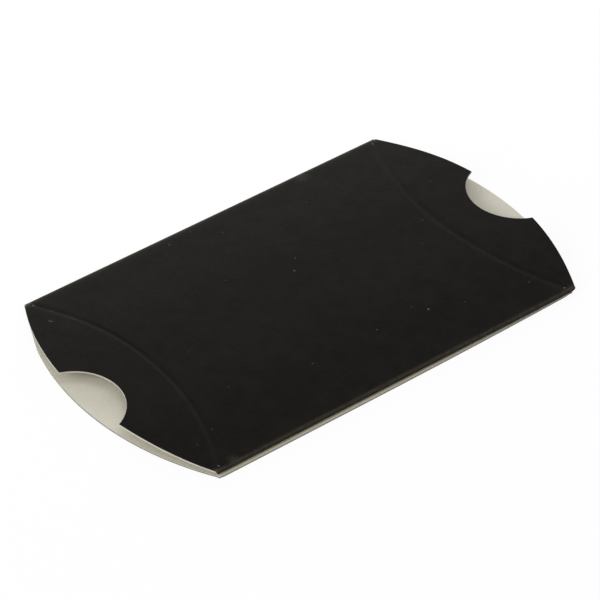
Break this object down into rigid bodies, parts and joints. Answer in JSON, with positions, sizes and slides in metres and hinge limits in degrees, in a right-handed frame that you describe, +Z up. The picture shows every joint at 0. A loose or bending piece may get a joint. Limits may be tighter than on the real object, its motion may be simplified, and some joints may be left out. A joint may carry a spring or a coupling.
{
  "type": "pillow box",
  "caption": "Flat-packed paperboard pillow box: a glued sleeve with curved end creases, plain lower flaps and thumb-notched upper flaps; bows open and tucks shut.",
  "frame": {"origin": "centre of the underside, on the surface that the flat box lies on", "axes": "+X along the sleeve towards one flapped end, the glued seam at -Y, +Z up"},
  "size_m": [0.1096, 0.0664, 0.003],
  "materials": {
    "black_board": "matt black outside, uncoated off-white inside and at the cut edges",
    "adhesive": "dried carton adhesive"
  },
  "bodies": {
    "bottom_middle": {"bottom_panel_middle": "black_board"},
    "bottom_back": {"bottom_panel_back": "black_board"},
    "bottom_front": {"bottom_panel_front": "black_board", "glue_line": "adhesive", "glue_tab": "black_board"},
    "top_back": {"top_panel_back": "black_board"},
    "top_middle": {"top_panel_middle": "black_board"},
    "top_front": {"top_panel_front": "black_board"},
    "bottom_left_flap_middle": {"bottom_left_flap_middle": "black_board"},
    "bottom_left_flap_back": {"bottom_left_flap_back": "black_board"},
    "bottom_left_flap_front": {"bottom_left_flap_front": "black_board"},
    "bottom_right_flap_middle": {"bottom_right_flap_middle": "black_board"},
    "bottom_right_flap_back": {"bottom_right_flap_back": "black_board"},
    "bottom_right_flap_front": {"bottom_right_flap_front": "black_board"},
    "top_left_flap_middle": {"top_left_flap_middle": "black_board"},
    "top_left_flap_back": {"top_left_flap_back": "black_board"},
    "top_left_flap_front": {"top_left_flap_front": "black_board"},
    "top_right_flap_middle": {"top_right_flap_middle": "black_board"},
    "top_right_flap_back": {"top_right_flap_back": "black_board"},
    "top_right_flap_front": {"top_right_flap_front": "black_board"}
  },
  "joints": [
    {"name": "erect", "type": "hinge", "parent": "bottom_middle", "child": "bottom_back", "pos_m": [0, 0.0068, 0.00045], "axis": [1, 0, 0], "range_deg": [0, 19.1], "deforming": ["top_left_flap_middle", "top_left_flap_back", "top_left_flap_front", "top_right_flap_middle", "top_right_flap_back", "top_right_flap_front"]},
    {"name": "bottom_front_bend", "type": "hinge", "parent": "bottom_middle", "child": "bottom_front", "pos_m": [0, -0.0068, 0.00045], "axis": [-1, 0, 0], "range_deg": [0, 19.11]},
    {"name": "back_fold", "type": "hinge", "parent": "bottom_back", "child": "top_back", "pos_m": [0, 0.0325, 0.00076], "axis": [-1, 0, 0], "range_deg": [0, 34.91]},
    {"name": "top_back_bend", "type": "hinge", "parent": "top_back", "child": "top_middle", "pos_m": [0, 0.0068, 0.00256], "axis": [1, 0, 0], "range_deg": [0, 15.81]},
    {"name": "top_front_bend", "type": "hinge", "parent": "top_middle", "child": "top_front", "pos_m": [0, -0.0068, 0.00256], "axis": [1, 0, 0], "range_deg": [0, 15.81]},
    {"name": "bottom_left_flap_fold", "type": "hinge", "parent": "bottom_middle", "child": "bottom_left_flap_middle", "pos_m": [-0.0377, 0, 0.00045], "axis": [0, 1, 0], "range_deg": [0, 92.01]},
    {"name": "bottom_left_flap_back_bend", "type": "hinge", "parent": "bottom_left_flap_middle", "child": "bottom_left_flap_back", "pos_m": [0, 0.0068, 0], "axis": [-1, 0, 0], "range_deg": [0, 19.11]},
    {"name": "bottom_left_flap_front_bend", "type": "hinge", "parent": "bottom_left_flap_middle", "child": "bottom_left_flap_front", "pos_m": [0, -0.0068, 0], "axis": [1, 0, 0], "range_deg": [0, 19.11]},
    {"name": "bottom_right_flap_fold", "type": "hinge", "parent": "bottom_middle", "child": "bottom_right_flap_middle", "pos_m": [0.0377, 0, 0.00045], "axis": [0, -1, 0], "range_deg": [0, 92.01]},
    {"name": "bottom_right_flap_back_bend", "type": "hinge", "parent": "bottom_right_flap_middle", "child": "bottom_right_flap_back", "pos_m": [0, 0.0068, 0], "axis": [-1, 0, 0], "range_deg": [0, 19.11]},
    {"name": "bottom_right_flap_front_bend", "type": "hinge", "parent": "bottom_right_flap_middle", "child": "bottom_right_flap_front", "pos_m": [0, -0.0068, 0], "axis": [1, 0, 0], "range_deg": [0, 19.11]},
    {"name": "top_left_flap_fold", "type": "hinge", "parent": "top_middle", "child": "top_left_flap_middle", "pos_m": [-0.0377, 0, 0.00256], "axis": [0, -1, 0], "range_deg": [0, 88.01]},
    {"name": "top_left_flap_back_bend", "type": "hinge", "parent": "top_left_flap_middle", "child": "top_left_flap_back", "pos_m": [0, 0.0068, 0.00301], "axis": [1, 0, 0], "range_deg": [0, 22.41]},
    {"name": "top_left_flap_front_bend", "type": "hinge", "parent": "top_left_flap_middle", "child": "top_left_flap_front", "pos_m": [0, -0.0068, 0.00301], "axis": [-1, 0, 0], "range_deg": [0, 22.41]},
    {"name": "top_right_flap_fold", "type": "hinge", "parent": "top_middle", "child": "top_right_flap_middle", "pos_m": [0.0377, 0, 0.00256], "axis": [0, 1, 0], "range_deg": [0, 88.01]},
    {"name": "top_right_flap_back_bend", "type": "hinge", "parent": "top_right_flap_middle", "child": "top_right_flap_back", "pos_m": [0, 0.0068, 0.00301], "axis": [1, 0, 0], "range_deg": [0, 22.41]},
    {"name": "top_right_flap_front_bend", "type": "hinge", "parent": "top_right_flap_middle", "child": "top_right_flap_front", "pos_m": [0, -0.0068, 0.00301], "axis": [-1, 0, 0], "range_deg": [0, 22.41]}
  ],
  "couplings": [
    {"joint": "bottom_front_bend", "follows": "erect", "ratio": 1},
    {"joint": "back_fold", "follows": "erect", "ratio": 1.8272},
    {"joint": "top_back_bend", "follows": "erect", "ratio": 0.82723},
    {"joint": "top_front_bend", "follows": "erect", "ratio": 0.82723},
    {"joint": "bottom_left_flap_fold", "follows": "erect", "ratio": 4.8168},
    {"joint": "bottom_left_flap_back_bend", "follows": "erect", "ratio": 1},
    {"joint": "bottom_left_flap_front_bend", "follows": "erect", "ratio": 1},
    {"joint": "bottom_right_flap_fold", "follows": "erect", "ratio": 4.8168},
    {"joint": "bottom_right_flap_back_bend", "follows": "erect", "ratio": 1},
    {"joint": "bottom_right_flap_front_bend", "follows": "erect", "ratio": 1},
    {"joint": "top_left_flap_fold", "follows": "erect", "ratio": 4.6073},
    {"joint": "top_left_flap_back_bend", "follows": "erect", "ratio": 1.1728},
    {"joint": "top_left_flap_front_bend", "follows": "erect", "ratio": 1.1728},
    {"joint": "top_right_flap_fold", "follows": "erect", "ratio": 4.6073},
    {"joint": "top_right_flap_back_bend", "follows": "erect", "ratio": 1.1728},
    {"joint": "top_right_flap_front_bend", "follows": "erect", "ratio": 1.1728}
  ]
}
